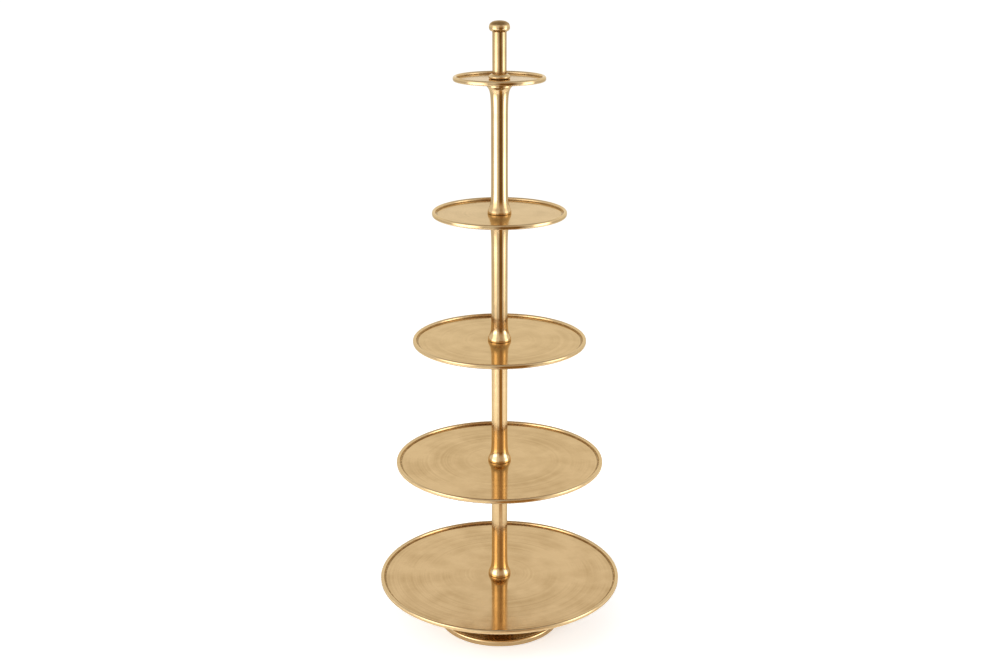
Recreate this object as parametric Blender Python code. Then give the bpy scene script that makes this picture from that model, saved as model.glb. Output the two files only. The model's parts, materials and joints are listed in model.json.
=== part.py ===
"""Five-tier etagere in polished brass: a foot, rimmed trays and turned columns screwed into one stack.

Metres, +Z up. The origin is on the floor under the middle of the foot. Tiers count from the floor up.
Every piece is turned about +Z, so an outline is a list of (radius, height) points that runs down the
outer side and back up the inner side. Plain round studs and bores stand for the screw threads.
"""

import math

import bmesh
import bpy

# Stack, from the floor up
FOOT_HEIGHT = 0.0802  # floor to the underside of the lowest tray
TIER_PITCH = 0.2078  # one tray to the next
HANDLE_HEIGHT = 0.0864  # floor of the top tray to the top of the knob

# Trays, from the lowest to the highest
TRAY_RADII = (0.2005, 0.1695, 0.1390, 0.1055, 0.0710)
TRAY_FLOOR = 0.0022
TRAY_DEPTH = 0.0042  # floor to the top of the rim
TRAY_RIM_WIDTH = 0.0060
TRAY_RIM_DROP = 0.0010  # how far the rim hangs below the underside
TRAY_FILLET = 0.0008  # between floor and rim
TRAY_EDGE = 0.0024  # rounding under the rim

# Columns
SPINDLE_RADIUS = 0.0130
SPINDLE_WALL = 0.0020
LIP_ROUND = 0.0012
BASE_FLARE = 0.0057  # how far the base stands out from the column
BASE_WAIST = 0.0095  # height at which half of that is left
BASE_FLARE_LENGTH = 0.0800
BASE_FLARE_POWER = 2.6
TOP_LIP = 0.0067  # how far the collar under a tray stands out
TOP_LIP_HEIGHT = 0.0100
TOP_LIP_TUCK = 60  # degrees that the collar's lower edge turns under
TOP_STEP_HEIGHT = 0.0020  # from the collar in to the flare
TOP_FLARE = 0.0045
TOP_FLARE_LENGTH = 0.0500
TOP_FLARE_POWER = 1.8

# Screwed joints
STUD_RADIUS = 0.0040
STUD_CHAMFER = 0.0008
THREAD_ENGAGEMENT = 0.0150  # thread that holds in the piece above a tray
STUD_SEAT = 0.0180  # thread fixed in the piece below a tray
TAP_RUNOUT = 0.0070  # thread cut past the end of the stud
BUSH_LENGTH = 0.0220
HOLE_CLEARANCE = 0.0005  # round a stud in a tray or washer
WASHER_THICKNESS = 0.0012
WASHER_LAP = 0.0020  # how far a washer covers the end of the column
WASHER_PROUD = 0.0003  # how far it stands out of its recess

# Handle and knob
HANDLE_RADIUS = 0.0109
HANDLE_FILLET = 0.0006  # under the knob
COLLAR_LIP = 0.0033  # collar outside the washer's recess
COLLAR_HEIGHT = 0.0072
COLLAR_BELLY = 0.0020  # tray's floor up to the widest part of the collar
COLLAR_STEP = 0.0004  # ledge where the rod meets the collar
COLLAR_TUCK = 0.0012  # how far the collar draws in below its widest part
KNOB_RADIUS = 0.0159
KNOB_HEIGHT = 0.0161
KNOB_BELLY = 0.0056  # underside of the knob up to its widest part
KNOB_SQUARENESS = 2.5  # exponent of the dome's superellipse, 2 for an ellipse
SPIGOT_RADIUS = 0.0040
SPIGOT_LENGTH = 0.0120

# Foot
FOOT_RADIUS = 0.1015
FOOT_PLATE = 0.0050
FOOT_RIM_HEIGHT = 0.0098
FOOT_RIM_WIDTH = 0.0070
FOOT_EDGE = 0.0010
NECK_RADIUS = 0.0210
NECK_LENGTH = 0.0140  # straight part between the cove below and the seat above
COVE_REACH = 0.0240  # how far the cove runs out on the plate
SEAT_LIP = 0.0030  # seat outside its fillet
SEAT_THICKNESS = 0.0050
SEAT_FILLET = 0.0060
PAD_WIDTH = 0.0080
PAD_INSET = 0.0035  # foot's edge to the pad
PAD_THICKNESS = 0.0020
PAD_PROUD = 0.0008

# Foot bolt
BOLT_HEAD_RADIUS = 0.0075  # across the corners of the hexagon
BOLT_HEAD_HEIGHT = 0.0055
BOLT_WASHER_RADIUS = 0.0090
BOLT_WASHER_THICKNESS = 0.0016
BOLT_SINK = 0.0013  # how far the head is sunk in the foot
SOCKET_CLEARANCE = 0.0015  # round the bolt's washer

GAP = 0.0003  # between pieces that touch

# Facets: chord error of the wide pieces, sides of the others, and points along arcs and flares
CHORD_ERROR = 0.0005
COLUMN_SIDES = 20
SMALL_SIDES = 14
STUD_SIDES = 12
HEXAGON_SIDES = 6
EDGE_STEPS = 1
ARC_STEPS = 2
BEAD_STEPS = 4
SWEEP_STEPS = 4
FLARE_STEPS = 4
BELL_STEPS = 8
DOME_STEPS = 5
SHARP_ANGLE = math.radians(35)
MERGE_DISTANCE = 1e-6

# Derived sizes
TRAY_RIM_HEIGHT = TRAY_FLOOR + TRAY_DEPTH
TIER_CLEAR = TIER_PITCH - TRAY_FLOOR
STANDOFF = WASHER_PROUD + GAP  # end of a column to the tray it faces
WASHER_SEAT = WASHER_THICKNESS + 2 * GAP  # tray to the floor of a washer's recess
SPINDLE_BORE = SPINDLE_RADIUS - SPINDLE_WALL
STUD_HOLE = STUD_RADIUS + HOLE_CLEARANCE
STUD_BORE = STUD_RADIUS + GAP
WASHER_RADIUS = SPINDLE_BORE + WASHER_LAP
WASHER_RECESS = WASHER_RADIUS + GAP
COLLAR_RADIUS = WASHER_RECESS + COLLAR_LIP
FOOT_BASE = PAD_PROUD
FOOT_SEAT = FOOT_HEIGHT - STANDOFF
FOOT_RECESS = FOOT_HEIGHT - WASHER_SEAT
SOCKET_RADIUS = BOLT_WASHER_RADIUS + SOCKET_CLEARANCE
BOLT_HEAD_TOP = FOOT_BASE + BOLT_SINK + BOLT_HEAD_HEIGHT
SOCKET_TOP = BOLT_HEAD_TOP + BOLT_WASHER_THICKNESS + 2 * GAP
KNOB_BASE = HANDLE_HEIGHT - KNOB_HEIGHT
HANDLE_TOP = KNOB_BASE - GAP


def clear_scene():
    for item in list(bpy.data.objects):
        bpy.data.objects.remove(item, do_unlink=True)


def finish(name, colour, metallic, roughness):
    """A plain surface for one kind of piece."""
    material = bpy.data.materials.new(name)
    material.use_nodes = True
    shader = material.node_tree.nodes["Principled BSDF"]
    shader.inputs["Base Color"].default_value = (*colour, 1.0)
    shader.inputs["Metallic"].default_value = metallic
    shader.inputs["Roughness"].default_value = roughness
    return material


def wide_sides(radius):
    """Facets that keep a wide round piece within the chord error, in fours."""
    return 4 * math.ceil(math.pi / math.acos(1 - CHORD_ERROR / radius) / 4)


def arc(centre, size, start, end, steps):
    """Points round an ellipse of half-widths size, between two angles in degrees."""
    points = []
    for step in range(steps + 1):
        angle = math.radians(start + (end - start) * step / steps)
        points.append((centre[0] + size[0] * math.cos(angle), centre[1] + size[1] * math.sin(angle)))
    return points


def flare(radius, reach, start, length, power):
    """(radius, distance) points of a curve that falls from radius + reach at start to radius at length."""
    points = []
    tail = (start / length) ** power
    for step in range(FLARE_STEPS + 1):
        distance = start * (length / start) ** (step / FLARE_STEPS)
        share = ((start / distance) ** power - tail) / (1 - tail)
        points.append((radius + reach * share, distance))
    return points


def bell(radius, reach, waist, length, power):
    """(radius, height) points of a bell-mouthed base, upright at height 0 and down to radius at length."""
    points = []
    last = math.atan((length / waist) ** (power / 2))
    tail = math.cos(last) ** 2
    for step in range(BELL_STEPS + 1):
        angle = last * step / BELL_STEPS
        share = (math.cos(angle) ** 2 - tail) / (1 - tail)
        points.append((radius + reach * share, waist * math.tan(angle) ** (2 / power)))
    return points


def turned(name, outline, sides, material, closed=True):
    """An outline spun about +Z. A closed one makes a ring, an open one starts and ends on the axis."""
    shape = bmesh.new()
    corners = [shape.verts.new((radius, 0.0, height)) for radius, height in outline]
    pairs = list(zip(corners, corners[1:]))
    if closed:
        pairs.append((corners[-1], corners[0]))
    edges = [shape.edges.new(pair) for pair in pairs]
    bmesh.ops.spin(
        shape,
        geom=corners + edges,
        axis=(0, 0, 1),
        cent=(0, 0, 0),
        angle=math.tau,
        steps=sides,
        use_merge=True,
    )
    bmesh.ops.remove_doubles(shape, verts=shape.verts, dist=MERGE_DISTANCE)
    bmesh.ops.recalc_face_normals(shape, faces=shape.faces)
    mesh = bpy.data.meshes.new(name)
    shape.to_mesh(mesh)
    shape.free()
    mesh.shade_smooth()
    mesh.set_sharp_from_angle(angle=SHARP_ANGLE)
    mesh.materials.append(material)
    piece = bpy.data.objects.new(name, mesh)
    bpy.context.scene.collection.objects.link(piece)
    return piece


def axis_point(name, parent, height):
    """An empty on the stack's axis that carries the pieces of one unit."""
    empty = bpy.data.objects.new(name, None)
    bpy.context.scene.collection.objects.link(empty)
    empty.parent = parent
    empty.location.z = height
    return empty


def place(piece, unit, height=0.0):
    piece.parent = unit
    piece.location.z = height


def ring(inner, outer, low, high):
    return [(outer, high), (outer, low), (inner, low), (inner, high)]


def tray_outline(radius):
    """From the underside at height 0: rim bead, outer side, rim's drop, centre hole, floor and fillet."""
    bead = TRAY_RIM_WIDTH / 2
    inner = radius - TRAY_RIM_WIDTH
    points = arc((radius - bead, TRAY_RIM_HEIGHT - bead), (bead, bead), 180, 0, BEAD_STEPS)
    edge_centre = (radius - TRAY_EDGE, TRAY_EDGE - TRAY_RIM_DROP)
    points += arc(edge_centre, (TRAY_EDGE, TRAY_EDGE), 0, -90, ARC_STEPS)
    points += [(inner, -TRAY_RIM_DROP), (inner - TRAY_RIM_DROP, 0.0)]
    points += [(STUD_HOLE, 0.0), (STUD_HOLE, TRAY_FLOOR)]
    fillet_centre = (inner - TRAY_FILLET, TRAY_FLOOR + TRAY_FILLET)
    points += arc(fillet_centre, (TRAY_FILLET, TRAY_FILLET), -90, 0, EDGE_STEPS)
    return points


def spindle_outline():
    """From the tray floor at height 0 up to the next tray: collar, flare, bell-mouthed base and bore."""
    top = TIER_CLEAR - STANDOFF
    recess_top = TIER_CLEAR - WASHER_SEAT
    lip = SPINDLE_RADIUS + TOP_LIP
    base = SPINDLE_RADIUS + BASE_FLARE
    rounding = (LIP_ROUND, LIP_ROUND)
    lip_low = TIER_CLEAR - TOP_LIP_HEIGHT
    points = [(SPINDLE_BORE, recess_top), (WASHER_RECESS, recess_top), (WASHER_RECESS, top)]
    points += arc((lip - LIP_ROUND, top - LIP_ROUND), rounding, 90, 0, EDGE_STEPS)
    points += arc((lip - LIP_ROUND, lip_low + LIP_ROUND), rounding, 0, -TOP_LIP_TUCK, EDGE_STEPS)
    flare_start = TOP_LIP_HEIGHT + TOP_STEP_HEIGHT
    upper = flare(SPINDLE_RADIUS, TOP_FLARE, flare_start, TOP_FLARE_LENGTH, TOP_FLARE_POWER)
    lower = bell(SPINDLE_RADIUS, BASE_FLARE, BASE_WAIST, BASE_FLARE_LENGTH, BASE_FLARE_POWER)
    bell_low = STANDOFF + LIP_ROUND
    points += [(radius, TIER_CLEAR - distance) for radius, distance in upper]
    points += [(radius, bell_low + height) for radius, height in reversed(lower[1:])]
    points += arc((base - LIP_ROUND, bell_low), rounding, 0, -90, EDGE_STEPS)
    points += [(WASHER_RECESS, STANDOFF), (WASHER_RECESS, WASHER_SEAT), (SPINDLE_BORE, WASHER_SEAT)]
    return points


def stud_outline(low, high):
    """A plain stud with chamfered ends, from the axis at the top to the axis at the bottom."""
    inner = STUD_RADIUS - STUD_CHAMFER
    return [
        (0.0, high),
        (inner, high),
        (STUD_RADIUS, high - STUD_CHAMFER),
        (STUD_RADIUS, low + STUD_CHAMFER),
        (inner, low),
        (0.0, low),
    ]


def handle_outline():
    """From the top tray's floor at height 0: spigot bore, rod, collar, washer recess and threaded bore."""
    spigot_bore = SPIGOT_RADIUS + GAP
    spigot_floor = KNOB_BASE - SPIGOT_LENGTH - GAP
    thread_end = WASHER_SEAT + THREAD_ENGAGEMENT + TAP_RUNOUT
    ledge = HANDLE_RADIUS + COLLAR_STEP
    shoulder = (COLLAR_RADIUS - ledge, COLLAR_HEIGHT - COLLAR_BELLY)
    tuck = (COLLAR_TUCK, COLLAR_BELLY - STANDOFF)
    fillet = (HANDLE_FILLET, HANDLE_FILLET)
    points = [(0.0, spigot_floor), (spigot_bore, spigot_floor), (spigot_bore, HANDLE_TOP)]
    points += arc((HANDLE_RADIUS + HANDLE_FILLET, HANDLE_TOP - HANDLE_FILLET), fillet, 90, 180, ARC_STEPS)
    points += [(HANDLE_RADIUS, COLLAR_HEIGHT)]
    points += arc((ledge, COLLAR_BELLY), shoulder, 90, 0, BEAD_STEPS)
    points += arc((COLLAR_RADIUS - COLLAR_TUCK, COLLAR_BELLY), tuck, 0, -90, ARC_STEPS)[1:]
    points += [(WASHER_RECESS, STANDOFF), (WASHER_RECESS, WASHER_SEAT), (STUD_BORE, WASHER_SEAT)]
    points += [(STUD_BORE, thread_end), (0.0, thread_end)]
    return points


def knob_outline():
    """A flattened ball from its top down to the spigot, with the underside at height 0."""
    crown = KNOB_HEIGHT - KNOB_BELLY
    points = [(0.0, KNOB_HEIGHT)]
    for step in range(1, DOME_STEPS):
        angle = math.pi / 2 * (1 - step / DOME_STEPS)
        across = math.cos(angle) ** (2 / KNOB_SQUARENESS)
        up = math.sin(angle) ** (2 / KNOB_SQUARENESS)
        points.append((KNOB_RADIUS * across, KNOB_BELLY + crown * up))
    belly = (KNOB_RADIUS - HANDLE_RADIUS, KNOB_BELLY)
    points += arc((HANDLE_RADIUS, KNOB_BELLY), belly, 0, -90, SWEEP_STEPS)
    points += [(SPIGOT_RADIUS, 0.0), (SPIGOT_RADIUS, -SPIGOT_LENGTH), (0.0, -SPIGOT_LENGTH)]
    return points


def pad_span():
    outer = FOOT_RADIUS - PAD_INSET
    return outer - PAD_WIDTH, outer


def foot_outline():
    """Seat, neck, cove, plate and rim on the outside, then the pad's groove and the bolt's socket."""
    bead = FOOT_RIM_WIDTH / 2
    plate = FOOT_BASE + FOOT_PLATE
    bead_centre = (FOOT_RADIUS - bead, FOOT_BASE + FOOT_RIM_HEIGHT - bead)
    pad_inner, pad_outer = pad_span()
    groove_top = PAD_THICKNESS + GAP
    seat_low = FOOT_SEAT - SEAT_THICKNESS
    seat_radius = NECK_RADIUS + SEAT_FILLET + SEAT_LIP
    seat_centre = (NECK_RADIUS + SEAT_FILLET, seat_low - SEAT_FILLET)
    cove_centre = (NECK_RADIUS + COVE_REACH, seat_low - SEAT_FILLET - NECK_LENGTH)
    cove = (COVE_REACH, cove_centre[1] - plate)
    edge_centre = (FOOT_RADIUS - FOOT_EDGE, FOOT_BASE + FOOT_EDGE)
    rounding = (LIP_ROUND, LIP_ROUND)
    points = [(STUD_HOLE, FOOT_RECESS), (WASHER_RECESS, FOOT_RECESS), (WASHER_RECESS, FOOT_SEAT)]
    points += arc((seat_radius - LIP_ROUND, FOOT_SEAT - LIP_ROUND), rounding, 90, 0, EDGE_STEPS)
    points += [(seat_radius, seat_low)]
    points += arc(seat_centre, (SEAT_FILLET, SEAT_FILLET), 90, 180, ARC_STEPS)
    points += arc(cove_centre, cove, 180, 270, SWEEP_STEPS)
    points += [(FOOT_RADIUS - FOOT_RIM_WIDTH, plate)]
    points += arc(bead_centre, (bead, bead), 180, 0, BEAD_STEPS)
    points += arc(edge_centre, (FOOT_EDGE, FOOT_EDGE), 0, -90, EDGE_STEPS)
    points += [(pad_outer + GAP, FOOT_BASE), (pad_outer + GAP, groove_top)]
    points += [(pad_inner - GAP, groove_top), (pad_inner - GAP, FOOT_BASE)]
    points += [(SOCKET_RADIUS, FOOT_BASE), (SOCKET_RADIUS, SOCKET_TOP), (STUD_HOLE, SOCKET_TOP)]
    return points


def build_bolt(unit, material):
    """Hexagon bolt that rises through the foot and the lowest tray into the first column."""
    head_low = BOLT_HEAD_TOP - BOLT_HEAD_HEIGHT
    tip = FOOT_HEIGHT + TRAY_FLOOR + WASHER_SEAT + THREAD_ENGAGEMENT
    shank = stud_outline(BOLT_HEAD_TOP - BOLT_HEAD_HEIGHT / 2, tip)
    bolt = turned("foot_bolt", shank, STUD_SIDES, material, False)
    hexagon = [
        (0.0, BOLT_HEAD_TOP),
        (BOLT_HEAD_RADIUS, BOLT_HEAD_TOP),
        (BOLT_HEAD_RADIUS, head_low),
        (0.0, head_low),
    ]
    head = turned("foot_bolt_head", hexagon, HEXAGON_SIDES, material, False)
    head.hide_render = True
    head.display_type = "WIRE"
    union = bolt.modifiers.new("head", "BOOLEAN")
    union.operation = "UNION"
    union.solver = "EXACT"
    union.object = head
    place(bolt, unit)
    place(head, unit)


def build_base(unit, brass, steel, felt):
    sides = wide_sides(FOOT_RADIUS)
    place(turned("foot", foot_outline(), sides, brass), unit)
    pad_inner, pad_outer = pad_span()
    place(turned("foot_pad", ring(pad_inner, pad_outer, 0.0, PAD_THICKNESS), sides, felt), unit)
    build_bolt(unit, steel)
    washer = ring(STUD_HOLE, BOLT_WASHER_RADIUS, 0.0, BOLT_WASHER_THICKNESS)
    place(turned("foot_bolt_washer", washer, SMALL_SIDES, steel), unit, BOLT_HEAD_TOP + GAP)


def build_tray(tier, unit, underside, satin, fibre):
    """A tray and the washer under it."""
    radius = TRAY_RADII[tier - 1]
    tray = turned(f"tray_{tier}", tray_outline(radius), wide_sides(radius), satin)
    place(tray, unit, underside)
    washer = ring(STUD_HOLE, WASHER_RADIUS, -GAP - WASHER_THICKNESS, -GAP)
    place(turned(f"under_washer_{tier}", washer, SMALL_SIDES, fibre), unit, underside)


def build_over_washer(tier, unit, fibre):
    washer = ring(STUD_HOLE, WASHER_RADIUS, GAP, GAP + WASHER_THICKNESS)
    place(turned(f"over_washer_{tier}", washer, SMALL_SIDES, fibre), unit)


def build_column(tier, unit, brass, plain, steel):
    """A column with its two threaded bushes and the stud in its top. Height 0 is the floor of its tray."""
    recess_top = TIER_CLEAR - WASHER_SEAT
    bush = ring(STUD_BORE, SPINDLE_BORE - GAP, 0.0, BUSH_LENGTH)
    place(turned(f"spindle_{tier}", spindle_outline(), COLUMN_SIDES, brass), unit)
    place(turned(f"base_bush_{tier}", bush, SMALL_SIDES, plain), unit, WASHER_SEAT)
    place(turned(f"top_bush_{tier}", bush, SMALL_SIDES, plain), unit, recess_top - BUSH_LENGTH)
    stud_tip = TIER_PITCH + WASHER_SEAT + THREAD_ENGAGEMENT
    stud = stud_outline(recess_top - STUD_SEAT, stud_tip)
    place(turned(f"stud_{tier}", stud, STUD_SIDES, steel, False), unit)


def build_handle(unit, brass):
    place(turned("handle", handle_outline(), COLUMN_SIDES, brass, False), unit)
    place(turned("knob", knob_outline(), COLUMN_SIDES, brass, False), unit, KNOB_BASE)


def main():
    clear_scene()
    brass = finish("polished_brass", colour=(0.80, 0.56, 0.27), metallic=1.0, roughness=0.14)
    satin = finish("turned_brass", colour=(0.78, 0.56, 0.29), metallic=1.0, roughness=0.28)
    plain = finish("plain_brass", colour=(0.70, 0.52, 0.26), metallic=1.0, roughness=0.35)
    steel = finish("zinc_steel", colour=(0.55, 0.55, 0.56), metallic=1.0, roughness=0.35)
    fibre = finish("fibre_washer", colour=(0.16, 0.11, 0.08), metallic=0.0, roughness=0.80)
    felt = finish("felt", colour=(0.10, 0.08, 0.06), metallic=0.0, roughness=0.95)

    unit = axis_point("base_axis", None, 0.0)
    build_base(unit, brass, steel, felt)
    build_tray(1, unit, FOOT_HEIGHT, satin, fibre)
    rise = FOOT_HEIGHT + TRAY_FLOOR
    for tier in range(1, len(TRAY_RADII)):
        unit = axis_point(f"column_{tier}_axis", unit, rise)
        rise = TIER_PITCH
        build_over_washer(tier, unit, fibre)
        build_column(tier, unit, brass, plain, steel)
        build_tray(tier + 1, unit, TIER_CLEAR, satin, fibre)
    unit = axis_point("handle_axis", unit, rise)
    build_over_washer(len(TRAY_RADII), unit, fibre)
    build_handle(unit, brass)


main()
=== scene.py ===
"""Looks of a five-tier brass etagere: fine turned surfaces, aged brass and a plain white studio.

Metres and degrees, +Z up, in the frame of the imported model. Outer sizes come from the frame's nodes.
Every piece is centred on +Z, and an outline is a list of (radius, height) points that runs down the outer
side of a piece and back up its inner side.
"""

import json
import math

import bmesh
import bpy
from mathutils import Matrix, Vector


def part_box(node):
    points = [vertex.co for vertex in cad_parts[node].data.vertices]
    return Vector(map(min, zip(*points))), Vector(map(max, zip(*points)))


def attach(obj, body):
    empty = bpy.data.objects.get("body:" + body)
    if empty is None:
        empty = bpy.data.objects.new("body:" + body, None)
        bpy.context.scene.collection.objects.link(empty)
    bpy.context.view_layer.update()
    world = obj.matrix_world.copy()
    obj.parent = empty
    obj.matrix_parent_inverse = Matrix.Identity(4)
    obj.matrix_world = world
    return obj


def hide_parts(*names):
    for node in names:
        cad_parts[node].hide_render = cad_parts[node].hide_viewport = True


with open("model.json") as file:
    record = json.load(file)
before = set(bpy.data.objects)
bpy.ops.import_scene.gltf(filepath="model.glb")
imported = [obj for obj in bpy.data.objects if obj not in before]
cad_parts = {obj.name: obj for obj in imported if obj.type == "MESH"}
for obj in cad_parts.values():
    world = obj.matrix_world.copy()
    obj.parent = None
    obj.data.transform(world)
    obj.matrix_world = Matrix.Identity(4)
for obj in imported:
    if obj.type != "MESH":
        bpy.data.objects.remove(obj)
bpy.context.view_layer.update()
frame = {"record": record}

TIERS = 5

# Trays
TRAY_FLOOR = 0.0022
TRAY_RIM_WIDTH = 0.0060
TRAY_RIM_DROP = 0.0010  # how far the rim hangs below the underside
TRAY_FILLET = 0.0008
TRAY_EDGE = 0.0024
TRAY_SHADE_RING_WIDTH = 0.0020  # width of the ring of painted shade, with some polish residue, on the floor inside the fillet
TRAY_SHADE_RING = 0.95  # darkness of that painted ring, from 0 for none to 1 as dark as the painted shade of other pieces

# Columns
SPINDLE_RADIUS = 0.0130
LIP_ROUND = 0.0012
BASE_ROUND = 0.0005
BASE_DROP = 0.0003
BASE_FLARE = 0.0057
BASE_WAIST = 0.0095
BASE_FLARE_LENGTH = 0.0800
BASE_FLARE_POWER = 2.6
TOP_LIP_HEIGHT = 0.0100
TOP_LIP_TUCK = 60
TOP_STEP_HEIGHT = 0.0020
TOP_FLARE = 0.0045
TOP_FLARE_LENGTH = 0.0500
TOP_FLARE_POWER = 1.8

# Handle and knob
HANDLE_RADIUS = 0.0109
HANDLE_FILLET = 0.0006
COLLAR_HEIGHT = 0.0072
COLLAR_BELLY = 0.0020  # height of the collar's widest place
COLLAR_STEP = 0.0004
COLLAR_TUCK = 0.0012
KNOB_BELLY = 0.0056  # height of the knob's widest place
KNOB_SQUARENESS = 2.5
# Painted shade on the knob's crown, standing for a dark reflection of the ceiling
KNOB_CROWN_SHADE = 1.0
KNOB_CROWN_SHADE_FROM = 0.40  # share of the crown's height
SPIGOT_LENGTH = 0.0120
SPIGOT_RADIUS = 0.0040

# Foot
FOOT_PLATE = 0.0050
FOOT_RIM_HEIGHT = 0.0098
FOOT_RIM_WIDTH = 0.0070
FOOT_EDGE = 0.0010
NECK_RADIUS = 0.0210
NECK_LENGTH = 0.0140
COVE_REACH = 0.0240  # how far the cove under the neck runs out on the plate
# Painted shade on the foot's plate, which lies under the lowest tray
FOOT_PLATE_SHADE = 0.9
SEAT_LIP = 0.0030
SEAT_THICKNESS = 0.0050
SEAT_FILLET = 0.0060
PAD_WIDTH = 0.0080
PAD_ROUND = 0.0007

# Screws and washers
GAP = 0.0003  # between pieces that are clamped together
STANDOFF = 0.0006
WASHER_SEAT = 0.0018
WASHER_CHAMFER = 0.00015
STUD_HOLE = 0.0045
STUD_CHAMFER = 0.0008
THREAD_PITCH = 0.00125
THREAD_DEPTH = 0.00072
THREAD_CREST = 0.22  # share of the pitch
HANDLE_THREAD_END = 0.0238
BOLT_HEAD_HEIGHT = 0.0055
BOLT_HEAD_CHAMFER = 0.0009
SOCKET_CLEARANCE = 0.0015

# Fineness of the turned surfaces
WIDE_SIDES = 256
COLUMN_SIDES = 96
SMALL_SIDES = 64
THREAD_SIDES = 24
THREAD_STEPS = 8
EDGE_STEPS = 6
BEAD_STEPS = 14
SWEEP_STEPS = 24
FLARE_STEPS = 28
BELL_STEPS = 36
DOME_STEPS = 20
HOLD = 0.0004  # from the ends of a straight run to the points that keep its shading flat
SHARP_ANGLE = 32
WEAR_RADIUS = 0.0016  # edges of this radius or less are fully worn

# Patterns: a window is the part of a noise's range that is stretched to the whole of a mark
EVEN_WINDOW = (0.3, 0.7)
SMEAR_WINDOW = (0.35, 0.70)
CLOUD_DETAIL = 4.0
CLOUD_GRAIN = 0.55
SMEAR_DETAIL = 6.0
SMEAR_GRAIN = 0.65
RING_DETAIL = 2.0
RING_GRAIN = 0.6

# Age of brass: patches of tone, ragged wear on edges and grime in crevices, whose colour also carries
# painted shade
PATCH_SIZE = 0.045
PATCH_DETAIL = 5.0
PATCH_WINDOW = (0.38, 0.66)
MARKS_IN_TONE = 0.50
RAG_SIZE = 0.006
RAG_WINDOW = (0.3, 0.6)
RAG_RANGE = (0.35, 1.0)
WORN_WINDOW = (0.1, 0.9)
WORN_MOST = 0.75
GRIME_AND_SHADE_WINDOW = (-0.1, -0.8)
GRIME_AND_SHADE_MOST = 0.85
GRAZING_TINT = (0.96, 0.88, 0.70, 1.0)
MARKS_TURN = 0.25  # turns the stretch of reflections across the marks

# Polished brass: spacing of its marks, each with its depth, then its roughness and tones
POLISH_LINES = 0.0011
POLISH_LINE_DEPTH = 2.5e-7
POLISH_BANDS = 0.012
POLISH_BAND_DEPTH = 1.5e-6
POLISH_WAVES = 0.030
POLISH_WAVE_DETAIL = 2.0
POLISH_WAVE_DEPTH = 1.2e-5
POLISH_SMEARS = 0.018
POLISH_ROUGHNESS = (0.07, 0.17)
POLISH_LINE_ROUGHNESS = 0.04
CREVICE_ROUGHNESS = 0.18
POLISH_ANISOTROPY = 0.35
POLISH_LIGHT = (0.67, 0.48, 0.255, 1.0)
POLISH_DARK = (0.59, 0.405, 0.200, 1.0)
POLISH_WORN = (0.75, 0.56, 0.320, 1.0)
# grime of crevices, also the colour of the painted shade on the knob and foot
POLISH_GRIME_AND_SHADE = (0.28, 0.155, 0.055, 1.0)

# Turned brass of the trays, in the same order
FINE_RINGS = 0.0006
FINE_DEPTH = 2.5e-7
FINE_ROUGHNESS = 0.03
MIDDLE_RINGS = 0.0035
MIDDLE_DEPTH = 8.0e-7
BROAD_RINGS = 0.014
BROAD_DEPTH = 4.0e-6
BROAD_WINDOW = (0.40, 0.62)
TRAY_WAVES = 0.090
TRAY_WAVE_DETAIL = 1.0
TRAY_WAVE_DEPTH = 1.0e-4
TRAY_WAVE_WINDOW = (0.40, 0.60)
ARC_PATCHES = 0.070
ARC_PATCH_DETAIL = 2.0
ARC_PATCH_WINDOW = (0.42, 0.62)
ARC_WINDOW = (0.35, 0.70)
ARC_ROUGHNESS = 0.04
ARCS_IN_MARKS = 0.45
TRAY_SMEARS = 0.025
TRAY_ROUGHNESS = (0.08, 0.16)
TRAY_ANISOTROPY = 0.60
TRAY_LIGHT = (0.672, 0.470, 0.250, 1.0)
TRAY_DARK = (0.490, 0.322, 0.150, 1.0)
TRAY_WORN = (0.72, 0.52, 0.29, 1.0)
# grime of crevices, also the colour of the painted shade ring in the trays' corners
TRAY_GRIME_AND_SHADE = (0.21, 0.112, 0.036, 1.0)

# Machined brass
CUTS = 0.0004
CUT_DEPTH = 6.0e-6
CUT_WINDOW = (0.2, 0.8)
CUT_ROUGHNESS = (0.28, 0.46)
CUT_LIGHT = (0.62, 0.45, 0.22, 1.0)
CUT_DARK = (0.48, 0.33, 0.14, 1.0)
CUT_WORN = (0.70, 0.52, 0.28, 1.0)
CUT_GRIME = (0.28, 0.18, 0.08, 1.0)

# Zinc-plated steel
SPANGLE = 0.0022
SPANGLE_DETAIL = 3.0
SPANGLE_DEPTH = 8.0e-6
ZINC_ROUGHNESS = (0.24, 0.40)
ZINC_STAIN = 0.009
ZINC_STAIN_WINDOW = (0.45, 0.70)
ZINC_COLOUR = (0.56, 0.57, 0.58, 1.0)
ZINC_STAIN_COLOUR = (0.50, 0.46, 0.36, 1.0)

# Vulcanised fibre
FLECKS = 0.0009
FLECK_DETAIL = 5.0
FLECK_GRAIN = 0.7
FLECK_DEPTH = 3.0e-5
FIBRE_LAYERS = 0.00025
LAYERS_IN_FIBRE = 0.4
FIBRE_ROUGHNESS = (0.50, 0.72)
FIBRE_DARK = (0.10, 0.034, 0.020, 1.0)
FIBRE_LIGHT = (0.20, 0.078, 0.044, 1.0)

# Felt
FUZZ = 0.0012
FUZZ_DETAIL = 8.0
FUZZ_GRAIN = 0.75
FUZZ_DEPTH = 2.5e-4
MATTING = 0.012
MATTING_DETAIL = 3.0
MATTING_IN_FELT = 0.35
FELT_ROUGHNESS = 0.95
FELT_SHEEN = 0.35
FELT_SHEEN_ROUGHNESS = 0.5
FELT_DARK = (0.035, 0.024, 0.016, 1.0)
FELT_LIGHT = (0.095, 0.068, 0.046, 1.0)

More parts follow.
